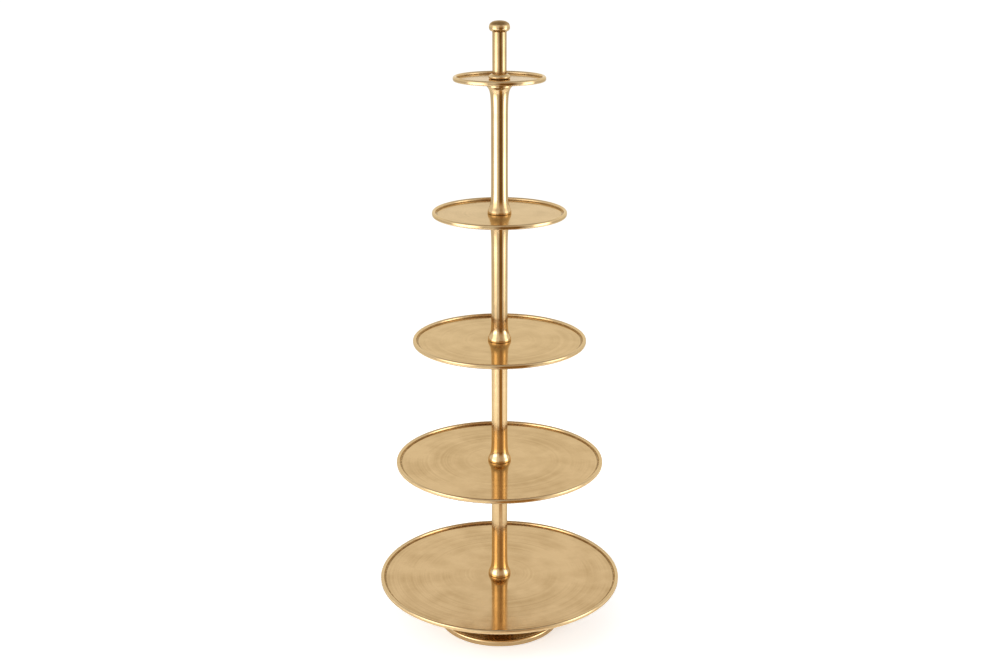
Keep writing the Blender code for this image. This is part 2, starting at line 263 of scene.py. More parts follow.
# Floor: ranges are distances, from the axis or from the middle of the trays' painted shadow
FLOOR_RADIUS = 40.0
FLOOR_SIDES = 96
FLOOR_COLOUR = (0.85, 0.85, 0.85, 1.0)
GLOW_RANGE = (0.15, 0.60)
NEAR_GLOW = 0.42
FAR_GLOW = 0.62
SHADE_MIDDLE = (0.0, 0.25, 0.0)
SHADE_RANGE = (0.18, 0.50)
MIRRORED_GLOW = 0.36

# Room: WALL_TOP and CEILING_FROM are angles above the horizon
SKY_COLOUR = (1.0, 1.0, 1.0, 1.0)
SKY_LIGHT = 0.50
WALL_SEEN = 1.0
WALL_TOP = 27.0
CEILING_SEEN = 0.55
CEILING_FROM = 60.0

# Dim side of the room and a fainter dim region above it: painted dark reflections that only metal sees
DIM_AZIMUTH = 18.0
DIM_REACH = 31.0
DIM_EDGE = 0.50  # share of the reach over which it fades
DIM_RANGE = (0.28, 0.55)  # distances on the floor between which it sets in
DIM_TOP = 38.0
DIM_COLOUR = (0.42, 0.23, 0.070, 1.0)
UPPER_DIM_AZIMUTH = 21.0
UPPER_DIM_REACH = 20.0
UPPER_DIM_CLEAR = 0.40
UPPER_DIM_LOW = 45.0
UPPER_DIM_TOP = 65.0

# Softboxes: azimuth and width of each, and the face that metal mirrors in place of the lamp
LEFT_SOFTBOX = (-57.0, 1.20)
RIGHT_SOFTBOX = (75.0, 0.80)
SOFTBOX_DISTANCE = 1.60
SOFTBOX_HEIGHT = 1.80
SOFTBOX_MIDDLE = 0.92
SOFTBOX_BRIGHTNESS = 9.0
SOFTBOX_EDGE = 0.30  # share of the width and height over which the light fades
FACE_WIDENING = 1.5
FACE_LOW = 5.0
FACE_HIGH = 1.4
FACE_RANGE = (0.26, 0.44)  # shares of the height between which it changes from low to high

# Camera
LENS = 49.1
SENSOR = 36.0
CAMERA_PLACE = (0.0008, -2.0874, 1.1649)
CAMERA_PITCH = 17.451


# Outlines

def arc(centre, size, start, end, steps):
    """Points round an ellipse of half-widths size, between two angles."""
    points = []
    for step in range(steps + 1):
        angle = math.radians(start + (end - start) * step / steps)
        points.append((centre[0] + size[0] * math.cos(angle), centre[1] + size[1] * math.sin(angle)))
    return points


def flare(radius, reach, start, length, power):
    """(radius, distance) points of a curve that falls from radius + reach at start to radius at length."""
    points = []
    tail = (start / length) ** power
    for step in range(FLARE_STEPS + 1):
        distance = start * (length / start) ** (step / FLARE_STEPS)
        share = ((start / distance) ** power - tail) / (1 - tail)
        points.append((radius + reach * share, distance))
    return points


def bell(radius, reach, waist, length, power):
    """(radius, height) points of a bell-mouthed base, upright at height 0 and down to radius at length."""
    points = []
    last = math.atan((length / waist) ** (power / 2))
    tail = math.cos(last) ** 2
    for step in range(BELL_STEPS + 1):
        angle = last * step / BELL_STEPS
        share = (math.cos(angle) ** 2 - tail) / (1 - tail)
        points.append((radius + reach * share, waist * math.tan(angle) ** (2 / power)))
    return points


def held(outline, closed):
    """The outline with points added near the ends of its straight runs, which keep shading flat there."""
    count = len(outline)
    points = []
    for index, (radius, height) in enumerate(outline):
        points.append((radius, height))
        if index == count - 1 and not closed:
            break
        next_radius, next_height = outline[(index + 1) % count]
        across = next_radius - radius
        along = next_height - height
        length = math.hypot(across, along)
        if length > 4 * HOLD:
            for share in (HOLD / length, 1 - HOLD / length):
                points.append((radius + across * share, height + along * share))
    return points


def bends(outline, closed):
    """How sharply the outline turns at each point, from -1 in a crevice to 1 on a worn edge."""
    count = len(outline)
    values = []
    for index in range(count):
        before = outline[index - 1]
        here = outline[index]
        after = outline[(index + 1) % count]
        if not closed and index in (0, count - 1):
            values.append(0.0)
            continue
        first = (here[0] - before[0], here[1] - before[1])
        second = (after[0] - here[0], after[1] - here[1])
        cross = second[0] * first[1] - second[1] * first[0]
        dot = first[0] * second[0] + first[1] * second[1]
        length = (math.hypot(*first) + math.hypot(*second)) / 2
        values.append(max(-1.0, min(1.0, math.atan2(cross, dot) * WEAR_RADIUS / length)))
    return values


# Meshes

def finished(name, shape, materials):
    """A smooth-shaded object from a bmesh."""
    bmesh.ops.recalc_face_normals(shape, faces=shape.faces)
    mesh = bpy.data.meshes.new(name)
    shape.to_mesh(mesh)
    shape.free()
    mesh.shade_smooth()
    mesh.set_sharp_from_angle(angle=math.radians(SHARP_ANGLE))
    for material in materials:
        mesh.materials.append(material)
    piece = bpy.data.objects.new(name, mesh)
    bpy.context.scene.collection.objects.link(piece)
    return piece


def turned(name, outline, sides, materials, closed=True, polished_from=None):
    """An outline turned about +Z. Faces outside the radius polished_from take the second material."""
    outline = held(outline, closed)
    wear = bends(outline, closed)
    shape = bmesh.new()
    edge = shape.verts.layers.float.new("edge")
    loops = []
    for (radius, height), value in zip(outline, wear):
        count = sides if radius > 0 else 1
        loop = []
        for side in range(count):
            angle = math.tau * side / sides
            corner = shape.verts.new((radius * math.cos(angle), radius * math.sin(angle), height))
            corner[edge] = value
            loop.append(corner)
        loops.append((loop, radius))
    pairs = list(zip(loops, loops[1:]))
    if closed:
        pairs.append((loops[-1], loops[0]))
    for (upper, upper_radius), (lower, lower_radius) in pairs:
        outside = polished_from is not None and min(upper_radius, lower_radius) > polished_from
        for side in range(sides):
            corners = [
                upper[side % len(upper)],
                lower[side % len(lower)],
                lower[(side + 1) % len(lower)],
                upper[(side + 1) % len(upper)],
            ]
            face = shape.faces.new(list(dict.fromkeys(corners)))
            face.material_index = 1 if outside else 0
    return finished(name, shape, materials)


def polar_solid(name, rows, sides, material):
    """A closed solid from rows of (height, radius at each angle), from bottom to top."""
    shape = bmesh.new()
    loops = []
    for height, radius_at in rows:
        loop = []
        for side in range(sides):
            angle = math.tau * side / sides
            radius = radius_at(angle)
            loop.append(shape.verts.new((radius * math.cos(angle), radius * math.sin(angle), height)))
        loops.append(loop)
    for lower, upper in zip(loops, loops[1:]):
        for side in range(sides):
            after = (side + 1) % sides
            shape.faces.new((lower[side], lower[after], upper[after], upper[side]))
    shape.faces.new(list(reversed(loops[0])))
    shape.faces.new(loops[-1])
    return finished(name, shape, [material])


def darken(piece, radii, heights, darkness):
    """Paints shade on a turned piece between two radii and heights, as dark as the grime of its crevices."""
    edge = piece.data.attributes["edge"].data
    for corner in piece.data.vertices:
        radius = corner.co.xy.length
        height = corner.co.z
        if radii[0] <= radius < radii[1] and heights[0] < height <= heights[1]:
            edge[corner.index].value = -darkness


# Where each piece belongs

BODY_OF = {
    node: body for body, nodes in frame["record"]["behaviour"]["bodies"].items() for node in nodes
}


def stand_for(piece, node):
    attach(piece, BODY_OF[node])
    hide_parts(node)


# Shader nodes

def fill(tree, sockets, values):
    """Sets each socket to its value, or links it where the value is another socket."""
    for socket, value in zip(sockets, values):
        if isinstance(value, bpy.types.NodeSocket):
            tree.links.new(value, socket)
        else:
            socket.default_value = value


def add(tree, kind, inputs=None, **settings):
    """A shader node with its settings and inputs."""
    node = tree.nodes.new(kind)
    for key, value in settings.items():
        setattr(node, key, value)
    inputs = inputs or {}
    fill(tree, [node.inputs[key] for key in inputs], inputs.values())
    return node


def maths(tree, operation, first, second=0.0, third=0.0):
    node = add(tree, "ShaderNodeMath", operation=operation)
    fill(tree, node.inputs, (first, second, third))
    return node.outputs[0]


def spread(tree, value, low, high, to_low=0.0, to_high=1.0):
    """A value stretched from low..high to to_low..to_high, and kept inside."""
    inputs = {"Value": value, "From Min": low, "From Max": high, "To Min": to_low, "To Max": to_high}
    return add(tree, "ShaderNodeMapRange", inputs).outputs["Result"]


def shared(tree, share, first, second):
    """A sum of two marks, with this share of the first and the rest of the second."""
    return maths(tree, "MULTIPLY_ADD", first, share, maths(tree, "MULTIPLY", second, 1 - share))


def blended(tree, share, first, second):
    """The first colour where share is 0, and the second where it is 1."""
    node = add(tree, "ShaderNodeMix", data_type="RGBA")
    colours = [socket for socket in node.inputs if socket.type == "RGBA"]
    fill(tree, (node.inputs[0], *colours), (share, first, second))
    return next(socket for socket in node.outputs if socket.type == "RGBA")


def split(tree, vector):
    """The X, Y and Z outputs of a vector."""
    return add(tree, "ShaderNodeSeparateXYZ", {0: vector}).outputs


def place(tree):
    """Object coordinates."""
    return add(tree, "ShaderNodeTexCoord").outputs["Object"]


def from_axis(tree, here):
    """The distance of a place from the axis."""
    flat = add(tree, "ShaderNodeVectorMath", {0: here, 1: (1.0, 1.0, 0.0)}, operation="MULTIPLY")
    return add(tree, "ShaderNodeVectorMath", {0: flat.outputs[0]}, operation="LENGTH").outputs["Value"]


def along_outline(tree, here):
    """A coordinate that grows along both upright and level faces."""
    return maths(tree, "ADD", split(tree, here)["Z"], from_axis(tree, here))


def clouds(tree, here, size, detail=CLOUD_DETAIL, grain=CLOUD_GRAIN):
    """Soft patches about size across."""
    inputs = {"Vector": here, "Scale": 1 / size, "Detail": detail, "Roughness": grain}
    return add(tree, "ShaderNodeTexNoise", inputs).outputs["Fac"]


def rings(tree, along, pitch):
    """Irregular marks that follow one coordinate, about pitch apart."""
    inputs = {"W": along, "Scale": 1 / pitch, "Detail": RING_DETAIL, "Roughness": RING_GRAIN}
    return add(tree, "ShaderNodeTexNoise", inputs, noise_dimensions="1D").outputs["Fac"]


def relief(tree, *layers):
    """The sum of (socket, depth) layers, as a bump normal."""
    total = 0.0
    for socket, depth in layers:
        total = maths(tree, "MULTIPLY_ADD", socket, depth, total)
    return add(tree, "ShaderNodeBump", {"Strength": 1.0, "Distance": 1.0, "Height": total}).outputs["Normal"]


# Materials

def empty_tree(owner):
    """The node tree of a material or world, with nothing in it."""
    owner.use_nodes = True
    owner.node_tree.nodes.clear()
    return owner.node_tree


def new_material(name):
    """A material with a plain Principled shader, and its node tree."""
    material = bpy.data.materials.new(name)
    material.use_nodes = True
    return material, material.node_tree, material.node_tree.nodes["Principled BSDF"]


def dress(tree, shader, colour, roughness, normal, metallic=0.0):
    """Sets what every material sets."""
    names = ("Base Color", "Roughness", "Normal", "Metallic")
    fill(tree, [shader.inputs[name] for name in names], (colour, roughness, normal, metallic))


def stretch(tree, shader, anisotropy):
    """Stretches reflections across the turning marks, which run round the axis."""
    tangent = add(tree, "ShaderNodeTangent", direction_type="RADIAL", axis="Z")
    tree.links.new(tangent.outputs["Tangent"], shader.inputs["Tangent"])
    shader.inputs["Anisotropic"].default_value = anisotropy
    shader.inputs["Anisotropic Rotation"].default_value = MARKS_TURN
    shader.inputs["Specular Tint"].default_value = GRAZING_TINT


def ragged_wear_and_shade(tree, here):
    """Wear of edges and grime of crevices, as bends gives them, and painted shade that darken marks, with
    ragged limits.
    """
    edge = add(tree, "ShaderNodeAttribute", attribute_name="edge").outputs["Fac"]
    rags = spread(tree, clouds(tree, here, RAG_SIZE), *RAG_WINDOW, *RAG_RANGE)
    return maths(tree, "MULTIPLY", edge, rags)


def aged_brass(tree, here, marks, wear, light, dark, worn, grime_and_shade):
    """Base colour of brass: patches of light and dark tone, worn edges, dull crevices and painted shade."""
    patches = spread(tree, clouds(tree, here, PATCH_SIZE, PATCH_DETAIL), *PATCH_WINDOW)
    colour = blended(tree, shared(tree, MARKS_IN_TONE, marks, patches), light, dark)
    colour = blended(tree, spread(tree, wear, *WORN_WINDOW, 0.0, WORN_MOST), colour, worn)
    return blended(tree, spread(tree, wear, *GRIME_AND_SHADE_WINDOW, 0.0, GRIME_AND_SHADE_MOST), colour, grime_and_shade)


def polished_brass():
    """Hand-polished brass of the columns, handle, knob and foot."""
    material, tree, shader = new_material("polished_brass")
    here = place(tree)
    along = along_outline(tree, here)
    lines = rings(tree, along, POLISH_LINES)
    bands = rings(tree, along, POLISH_BANDS)
    waves = clouds(tree, here, POLISH_WAVES, POLISH_WAVE_DETAIL)
    smears = clouds(tree, here, POLISH_SMEARS, SMEAR_DETAIL, SMEAR_GRAIN)
    wear = ragged_wear_and_shade(tree, here)
    tones = (POLISH_LIGHT, POLISH_DARK, POLISH_WORN, POLISH_GRIME_AND_SHADE)
    colour = aged_brass(tree, here, bands, wear, *tones)
    rough = spread(tree, smears, *SMEAR_WINDOW, *POLISH_ROUGHNESS)
    rough = maths(tree, "MULTIPLY_ADD", lines, POLISH_LINE_ROUGHNESS, rough)
    rough = maths(tree, "MULTIPLY_ADD", spread(tree, wear, 0.0, -1.0), CREVICE_ROUGHNESS, rough)
    normal = relief(tree, (lines, POLISH_LINE_DEPTH), (bands, POLISH_BAND_DEPTH), (waves, POLISH_WAVE_DEPTH))
    dress(tree, shader, colour, rough, normal, metallic=1.0)
    stretch(tree, shader, POLISH_ANISOTROPY)
    return material


def turned_brass():
    """Satin brass of the trays, with the concentric marks of spinning and turning."""
    material, tree, shader = new_material("turned_brass")
    here = place(tree)
    radius = from_axis(tree, here)
    fine = rings(tree, radius, FINE_RINGS)
    middle = rings(tree, radius, MIDDLE_RINGS)
    broad = rings(tree, radius, BROAD_RINGS)
    waves = clouds(tree, here, TRAY_WAVES, TRAY_WAVE_DETAIL)
    patchy = spread(tree, clouds(tree, here, ARC_PATCHES, ARC_PATCH_DETAIL), *ARC_PATCH_WINDOW)
    arcs = maths(tree, "MULTIPLY", spread(tree, middle, *ARC_WINDOW), patchy)
    wavy = spread(tree, waves, *TRAY_WAVE_WINDOW)
    sweeps = maths(tree, "MULTIPLY", spread(tree, broad, *BROAD_WINDOW), wavy)
    marks = shared(tree, ARCS_IN_MARKS, arcs, sweeps)
    smears = clouds(tree, here, TRAY_SMEARS, SMEAR_DETAIL, SMEAR_GRAIN)
    tones = (TRAY_LIGHT, TRAY_DARK, TRAY_WORN, TRAY_GRIME_AND_SHADE)
    colour = aged_brass(tree, here, marks, ragged_wear_and_shade(tree, here), *tones)
    rough = spread(tree, smears, *SMEAR_WINDOW, *TRAY_ROUGHNESS)
    rough = maths(tree, "MULTIPLY_ADD", arcs, ARC_ROUGHNESS, rough)
    rough = maths(tree, "MULTIPLY_ADD", fine, FINE_ROUGHNESS, rough)
    layers = ((fine, FINE_DEPTH), (middle, MIDDLE_DEPTH), (broad, BROAD_DEPTH), (waves, TRAY_WAVE_DEPTH))
    dress(tree, shader, colour, rough, relief(tree, *layers), metallic=1.0)
    stretch(tree, shader, TRAY_ANISOTROPY)
    return material


def machined_brass():
    """Unpolished brass of the bushes inside the columns."""
    material, tree, shader = new_material("machined_brass")
    here = place(tree)
    cuts = rings(tree, along_outline(tree, here), CUTS)
    tones = (CUT_LIGHT, CUT_DARK, CUT_WORN, CUT_GRIME)
    colour = aged_brass(tree, here, cuts, ragged_wear_and_shade(tree, here), *tones)
    rough = spread(tree, cuts, *CUT_WINDOW, *CUT_ROUGHNESS)
    dress(tree, shader, colour, rough, relief(tree, (cuts, CUT_DEPTH)), metallic=1.0)
    return material


def zinc_steel():
    """Zinc-plated steel of the studs and the foot bolt, with a faint yellow passivation."""
    material, tree, shader = new_material("zinc_steel")
    here = place(tree)
    spangle = clouds(tree, here, SPANGLE, SPANGLE_DETAIL)
    stain = spread(tree, clouds(tree, here, ZINC_STAIN), *ZINC_STAIN_WINDOW)
    colour = blended(tree, stain, ZINC_COLOUR, ZINC_STAIN_COLOUR)
    rough = spread(tree, spangle, *EVEN_WINDOW, *ZINC_ROUGHNESS)
    dress(tree, shader, colour, rough, relief(tree, (spangle, SPANGLE_DEPTH)), metallic=1.0)
    return material


def fibre():
    """Red-brown vulcanised fibre of the washers."""
    material, tree, shader = new_material("fibre")
    here = place(tree)
    flecks = clouds(tree, here, FLECKS, FLECK_DETAIL, FLECK_GRAIN)
    layers = rings(tree, split(tree, here)["Z"], FIBRE_LAYERS)
    tone = spread(tree, shared(tree, LAYERS_IN_FIBRE, layers, flecks), *EVEN_WINDOW)
    colour = blended(tree, tone, FIBRE_DARK, FIBRE_LIGHT)
    rough = spread(tree, flecks, *EVEN_WINDOW, *FIBRE_ROUGHNESS)
    dress(tree, shader, colour, rough, relief(tree, (flecks, FLECK_DEPTH)))
    return material


def felt():
    """Dark brown felt of the ring under the foot."""
    material, tree, shader = new_material("felt")
    here = place(tree)
    fuzz = clouds(tree, here, FUZZ, FUZZ_DETAIL, FUZZ_GRAIN)
    matting = clouds(tree, here, MATTING, MATTING_DETAIL)
    tone = spread(tree, shared(tree, MATTING_IN_FELT, matting, fuzz), *EVEN_WINDOW)
    colour = blended(tree, tone, FELT_DARK, FELT_LIGHT)
    dress(tree, shader, colour, FELT_ROUGHNESS, relief(tree, (fuzz, FUZZ_DEPTH)))
    shader.inputs["Sheen Weight"].default_value = FELT_SHEEN
    shader.inputs["Sheen Roughness"].default_value = FELT_SHEEN_ROUGHNESS
    return material


# Pieces

def ring_outline(inner, outer, low, high, chamfer):
    """A flat ring with its four edges broken."""
    return [
        (outer - chamfer, high),
        (outer, high - chamfer),
        (outer, low + chamfer),
        (outer - chamfer, low),
        (inner + chamfer, low),
        (inner, low + chamfer),
        (inner, high - chamfer),
        (inner + chamfer, high),
    ]


def build_tray(node, floor_finish, rim_finish):
    """Rolled rim, underside, hole and floor, with painted shade and polish residue in the corner by the rim.
    """
    low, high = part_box(node)
    radius = high.x
    bead = TRAY_RIM_WIDTH / 2
    inner = radius - TRAY_RIM_WIDTH
    corner = inner - TRAY_FILLET
    shaded = corner - TRAY_SHADE_RING_WIDTH
    underside = low.z + TRAY_RIM_DROP
    floor = underside + TRAY_FLOOR
    edge = (TRAY_EDGE, TRAY_EDGE)
    fillet = (TRAY_FILLET, TRAY_FILLET)
    points = arc((radius - bead, high.z - bead), (bead, bead), 180, 0, 2 * BEAD_STEPS)
    points += arc((radius - TRAY_EDGE, low.z + TRAY_EDGE), edge, 0, -90, EDGE_STEPS)
    points += [(inner, low.z), (inner - TRAY_RIM_DROP, underside)]
    points += [(STUD_HOLE, underside), (STUD_HOLE, floor)]
    points += [(shaded - TRAY_SHADE_RING_WIDTH, floor), (shaded, floor)]
    points += arc((corner, floor + TRAY_FILLET), fillet, -90, 0, EDGE_STEPS)
    finishes = [floor_finish, rim_finish]
    tray = turned(f"{node}_spun", points, WIDE_SIDES, finishes, polished_from=corner)
    # painted shade: a dark ring in the corner stands for the rim's dark reflection in the floor, with some
    # polish residue
    shade_heights = (floor - GAP, floor + TRAY_FILLET + GAP)
    darken(tray, (shaded - GAP, inner + GAP), shade_heights, TRAY_SHADE_RING)
    stand_for(tray, node)


def build_spindle(number, finish):
    """Collared top, flared tube and bell-shaped base, with a bore and a washer's recess at each end."""
    node = f"spindle_{number}"
    low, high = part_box(node)
    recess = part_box(f"over_washer_{number}")[1].x + GAP
    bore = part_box(f"base_bush_{number}")[1].x + GAP
    foot = low.z - STANDOFF
    head = high.z + STANDOFF
    lip = high.x
    lip_low = head - TOP_LIP_HEIGHT
    base = SPINDLE_RADIUS + BASE_FLARE
    base_low = low.z - BASE_DROP
    bell_low = base_low + BASE_ROUND
    rounding = (LIP_ROUND, LIP_ROUND)
    flare_start = TOP_LIP_HEIGHT + TOP_STEP_HEIGHT
    upper = flare(SPINDLE_RADIUS, TOP_FLARE, flare_start, TOP_FLARE_LENGTH, TOP_FLARE_POWER)
    lower = bell(SPINDLE_RADIUS, BASE_FLARE, BASE_WAIST, BASE_FLARE_LENGTH, BASE_FLARE_POWER)
    points = [(bore, head - WASHER_SEAT), (recess, head - WASHER_SEAT), (recess, high.z)]
    points += arc((lip - LIP_ROUND, high.z - LIP_ROUND), rounding, 90, 0, EDGE_STEPS)
    points += arc((lip - LIP_ROUND, lip_low + LIP_ROUND), rounding, 0, -TOP_LIP_TUCK, EDGE_STEPS)
    points += [(radius, head - distance) for radius, distance in upper]
    points += [(radius, bell_low + height) for radius, height in reversed(lower[1:])]
    points += arc((base - BASE_ROUND, bell_low), (BASE_ROUND, BASE_ROUND), 0, -90, EDGE_STEPS)
    points += [(recess, base_low), (recess, foot + WASHER_SEAT), (bore, foot + WASHER_SEAT)]
    stand_for(turned(f"{node}_turned", points, COLUMN_SIDES, [finish]), node)


def build_handle(finish):
    """Spigot's bore, round grip and base collar, then the washer's recess and the stud's bore."""
    low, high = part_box("handle")
    foot = low.z - STANDOFF
    collar = high.x
    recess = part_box(f"over_washer_{TIERS}")[1].x + GAP
    knob_base = high.z + GAP
    spigot_bore = SPIGOT_RADIUS + GAP
    spigot_floor = knob_base - SPIGOT_LENGTH - GAP
    stud_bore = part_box(f"stud_{TIERS - 1}")[1].x + GAP
    ledge = HANDLE_RADIUS + COLLAR_STEP
    belly = foot + COLLAR_BELLY
    shoulder = (collar - ledge, COLLAR_HEIGHT - COLLAR_BELLY)
    tuck = (COLLAR_TUCK, belly - low.z)
    fillet = (HANDLE_FILLET, HANDLE_FILLET)
    points = [(0.0, spigot_floor), (spigot_bore, spigot_floor), (spigot_bore, high.z)]
    points += arc((HANDLE_RADIUS + HANDLE_FILLET, high.z - HANDLE_FILLET), fillet, 90, 180, EDGE_STEPS)
    points += [(HANDLE_RADIUS, foot + COLLAR_HEIGHT)]
    points += arc((ledge, belly), shoulder, 90, 0, BEAD_STEPS)
    points += arc((collar - COLLAR_TUCK, belly), tuck, 0, -90, EDGE_STEPS)[1:]
    points += [(recess, low.z), (recess, foot + WASHER_SEAT), (stud_bore, foot + WASHER_SEAT)]
    points += [(stud_bore, foot + HANDLE_THREAD_END), (0.0, foot + HANDLE_THREAD_END)]
    stand_for(turned("handle_turned", points, COLUMN_SIDES, [finish], closed=False), "handle")


def build_knob(finish):
    """Squarish dome on a round belly, with painted shade on its crown, and the spigot under it."""
    low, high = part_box("knob")
    base = low.z + SPIGOT_LENGTH
    widest = base + KNOB_BELLY
    crown = high.z - base - KNOB_BELLY
    points = [(0.0, high.z)]
    for step in range(1, DOME_STEPS):
        angle = math.pi / 2 * (1 - step / DOME_STEPS)
        across = math.cos(angle) ** (2 / KNOB_SQUARENESS)
        up = math.sin(angle) ** (2 / KNOB_SQUARENESS)
        points.append((high.x * across, widest + crown * up))
    belly = (high.x - HANDLE_RADIUS, KNOB_BELLY)
    points += arc((HANDLE_RADIUS, widest), belly, 0, -90, SWEEP_STEPS)
    points += [(SPIGOT_RADIUS, base), (SPIGOT_RADIUS, low.z), (0.0, low.z)]
    knob = turned("knob_turned", points, COLUMN_SIDES, [finish], closed=False)
    # painted shade: the upper crown is darkened, standing for a dark reflection of the ceiling
    darken(knob, (0.0, high.x), (widest + crown * KNOB_CROWN_SHADE_FROM, high.z), KNOB_CROWN_SHADE)
    stand_for(knob, "knob")


def build_foot(finish):
    """Seat, neck, cove, plate with painted shade and rolled rim, then the pad's groove and the bolt's
    socket.
    """
    low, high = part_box("foot")
    radius = high.x
    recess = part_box("under_washer_1")[1].x + GAP
    recess_floor = high.z + STANDOFF - WASHER_SEAT
    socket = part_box("foot_bolt_washer")[1].x + SOCKET_CLEARANCE
    socket_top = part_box("foot_bolt_washer")[1].z + GAP
    bead = FOOT_RIM_WIDTH / 2
    bead_centre = (radius - bead, low.z + FOOT_RIM_HEIGHT - bead)
    plate = low.z + FOOT_PLATE
    pad_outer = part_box("foot_pad")[1].x
    pad_inner = pad_outer - PAD_WIDTH
    groove_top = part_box("foot_pad")[1].z + GAP
    seat = NECK_RADIUS + SEAT_FILLET + SEAT_LIP
    seat_low = high.z - SEAT_THICKNESS
    fillet_centre = (NECK_RADIUS + SEAT_FILLET, seat_low - SEAT_FILLET)
    neck_low = seat_low - SEAT_FILLET - NECK_LENGTH
    cove_centre = (NECK_RADIUS + COVE_REACH, neck_low)
    cove = (COVE_REACH, neck_low - plate)
    rounding = (LIP_ROUND, LIP_ROUND)
    edge = (FOOT_EDGE, FOOT_EDGE)
    points = [(STUD_HOLE, recess_floor), (recess, recess_floor), (recess, high.z)]
    points += arc((seat - LIP_ROUND, high.z - LIP_ROUND), rounding, 90, 0, EDGE_STEPS)
    points += [(seat, seat_low)]
    points += arc(fillet_centre, (SEAT_FILLET, SEAT_FILLET), 90, 180, BEAD_STEPS)
    points += arc(cove_centre, cove, 180, 270, SWEEP_STEPS)
    points += [(radius - FOOT_RIM_WIDTH, plate)]
    points += arc(bead_centre, (bead, bead), 180, 0, BEAD_STEPS)
    points += arc((radius - FOOT_EDGE, low.z + FOOT_EDGE), edge, 0, -90, EDGE_STEPS)
    points += [(pad_outer + GAP, low.z), (pad_outer + GAP, groove_top)]
    points += [(pad_inner - GAP, groove_top), (pad_inner - GAP, low.z)]
    points += [(socket, low.z), (socket, socket_top), (STUD_HOLE, socket_top)]
    foot = turned("foot_turned", points, WIDE_SIDES, [finish])
    # painted shade: the plate, cove, neck and seat under the lowest tray are darkened
    darken(foot, (0.0, radius - FOOT_RIM_WIDTH), (plate - GAP, high.z), FOOT_PLATE_SHADE)
    stand_for(foot, "foot")


def build_foot_pad(finish):
    low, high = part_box("foot_pad")
    inner = high.x - PAD_WIDTH
    rounding = (PAD_ROUND, PAD_ROUND)
    points = arc((high.x - PAD_ROUND, high.z - PAD_ROUND), rounding, 90, 0, EDGE_STEPS)
    points += arc((high.x - PAD_ROUND, low.z + PAD_ROUND), rounding, 0, -90, EDGE_STEPS)
    points += arc((inner + PAD_ROUND, low.z + PAD_ROUND), rounding, 270, 180, EDGE_STEPS)
    points += arc((inner + PAD_ROUND, high.z - PAD_ROUND), rounding, 180, 90, EDGE_STEPS)
    pad = turned("foot_pad_felt", points, WIDE_SIDES, [finish])
    stand_for(pad, "foot_pad")


def build_ring(node, inner, finish):
    low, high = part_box(node)
    outline = ring_outline(inner, high.x, low.z, high.z, WASHER_CHAMFER)
    stand_for(turned(f"{node}_cut", outline, SMALL_SIDES, [finish]), node)


def thread_rows(low, high, radius):
    """Rows of a right-handed thread between two heights, with chamfered ends."""
    count = math.ceil((high - low) / THREAD_PITCH * THREAD_STEPS)
    rows = []
    for index in range(count + 1):
        height = low + (high - low) * index / count
        limit = radius - max(0.0, STUD_CHAMFER - min(height - low, high - height))

        def radius_at(angle, height=height, limit=limit):
            phase = (height / THREAD_PITCH - angle / math.tau) % 1.0
            rise = min(1.0, abs(2 * phase - 1) / (1 - THREAD_CREST))
            return min(limit, radius - THREAD_DEPTH * (1 - rise))

        rows.append((height, radius_at))
    return rows


def build_stud(number, finish):
    node = f"stud_{number}"
    low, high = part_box(node)
    rows = thread_rows(low.z, high.z, high.x)
    stand_for(polar_solid(f"{node}_threaded", rows, THREAD_SIDES, finish), node)


def build_bolt(finish):
    """Hexagon head with a chamfered underside, and a threaded shank above it."""
    low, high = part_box("foot_bolt")
    corner = high.x
    flat = corner * math.cos(math.pi / 6)
    head_top = low.z + BOLT_HEAD_HEIGHT
    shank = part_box("stud_1")[1].x

    def hexagon(angle):
        return flat / math.cos(angle % (math.pi / 3) - math.pi / 6)

    def chamfered(angle):
        return min(hexagon(angle), flat)

    rows = [(low.z, lambda angle: flat - BOLT_HEAD_CHAMFER)]
    rows += [(low.z + BOLT_HEAD_CHAMFER / 3, chamfered)]
    rows += [(low.z + BOLT_HEAD_CHAMFER, hexagon), (head_top, hexagon)]
    rows += thread_rows(head_top, high.z, shank)
    stand_for(polar_solid("foot_bolt_threaded", rows, THREAD_SIDES, finish), "foot_bolt")


def build_pieces():
    polished = polished_brass()
    satin = turned_brass()
    machined = machined_brass()
    steel = zinc_steel()
    washer = fibre()
    build_foot(polished)
    build_foot_pad(felt())
    build_bolt(steel)
    build_ring("foot_bolt_washer", STUD_HOLE, steel)
    stud_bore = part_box("stud_1")[1].x + GAP
    for number in range(1, TIERS + 1):
        build_tray(f"tray_{number}", satin, polished)
        build_ring(f"under_washer_{number}", STUD_HOLE, washer)
        build_ring(f"over_washer_{number}", STUD_HOLE, washer)
    for number in range(1, TIERS):
        build_spindle(number, polished)
        build_ring(f"base_bush_{number}", stud_bore, machined)
        build_ring(f"top_bush_{number}", stud_bore, machined)
        build_stud(number, steel)
    build_handle(polished)
    build_knob(polished)


# Studio

def sight(tree):
    """1 where a surface is seen by the camera, and 1 where it is seen in metal or through glass."""
    path = add(tree, "ShaderNodeLightPath").outputs
    return path["Is Camera Ray"], maths(tree, "MAXIMUM", path["Is Glossy Ray"], path["Is Transmission Ray"])


def beside_dim(tree, here, middle, reach):
    """0 towards the dim side of the room, behind the camera, and 1 away from it."""
    parts = split(tree, here)
    azimuth = maths(tree, "ARCTAN2", parts["X"], maths(tree, "MULTIPLY", parts["Y"], -1.0))
    away = maths(tree, "ABSOLUTE", maths(tree, "SUBTRACT", azimuth, math.radians(middle)))
    return spread(tree, away, math.radians(reach * (1 - DIM_EDGE)), math.radians(reach))


